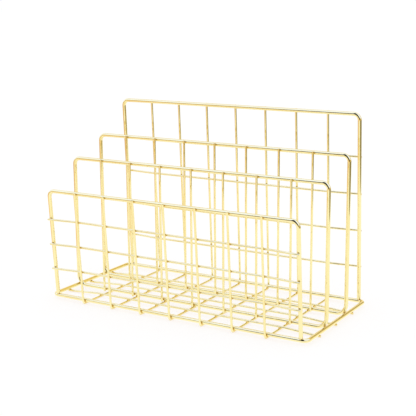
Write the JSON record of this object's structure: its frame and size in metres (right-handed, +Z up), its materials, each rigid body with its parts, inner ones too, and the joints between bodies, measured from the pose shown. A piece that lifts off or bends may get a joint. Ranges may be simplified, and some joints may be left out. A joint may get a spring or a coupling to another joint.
{
  "type": "desktop document rack",
  "caption": "Wire desk rack: a welded wire tray with a low front panel, upright dividers and a tall back panel that form side-by-side slots for letters, folders and papers.",
  "frame": {"origin": "centre of the footprint box, on the surface that the rack stands on", "axes": "+Z up, +X along the long side of the rack to the right seen from the low front panel, +Y from the low front panel to the tall back panel"},
  "size_m": [0.304, 0.1566, 0.2036],
  "materials": {
    "stout_wire": "bright satin brass-coloured plating",
    "thin_wire": "bright satin brass-coloured plating"
  },
  "bodies": {
    "root": {"base_loop": "stout_wire", "front_hoop": "stout_wire", "back_hoop": "stout_wire", "first_divider_loop": "stout_wire", "second_divider_loop": "stout_wire", "cradle_wire_1": "thin_wire", "cradle_wire_2": "thin_wire", "cradle_wire_3": "thin_wire", "cradle_wire_4": "thin_wire", "cradle_wire_5": "thin_wire", "cradle_wire_6": "thin_wire", "cradle_wire_7": "thin_wire", "front_rail_1": "thin_wire", "front_rail_2": "thin_wire", "front_rail_3": "thin_wire", "back_rail_1": "thin_wire", "back_rail_2": "thin_wire", "back_rail_3": "thin_wire", "back_rail_4": "thin_wire", "front_floor_rail": "thin_wire", "middle_floor_rail": "thin_wire", "rear_floor_rail": "thin_wire", "first_divider_upright_1": "thin_wire", "first_divider_upright_2": "thin_wire", "first_divider_upright_3": "thin_wire", "first_divider_upright_4": "thin_wire", "first_divider_upright_5": "thin_wire", "first_divider_upright_6": "thin_wire", "first_divider_upright_7": "thin_wire", "second_divider_upright_1": "thin_wire", "second_divider_upright_2": "thin_wire", "second_divider_upright_3": "thin_wire", "second_divider_upright_4": "thin_wire", "second_divider_upright_5": "thin_wire", "second_divider_upright_6": "thin_wire", "second_divider_upright_7": "thin_wire"}
  },
  "joints": []
}
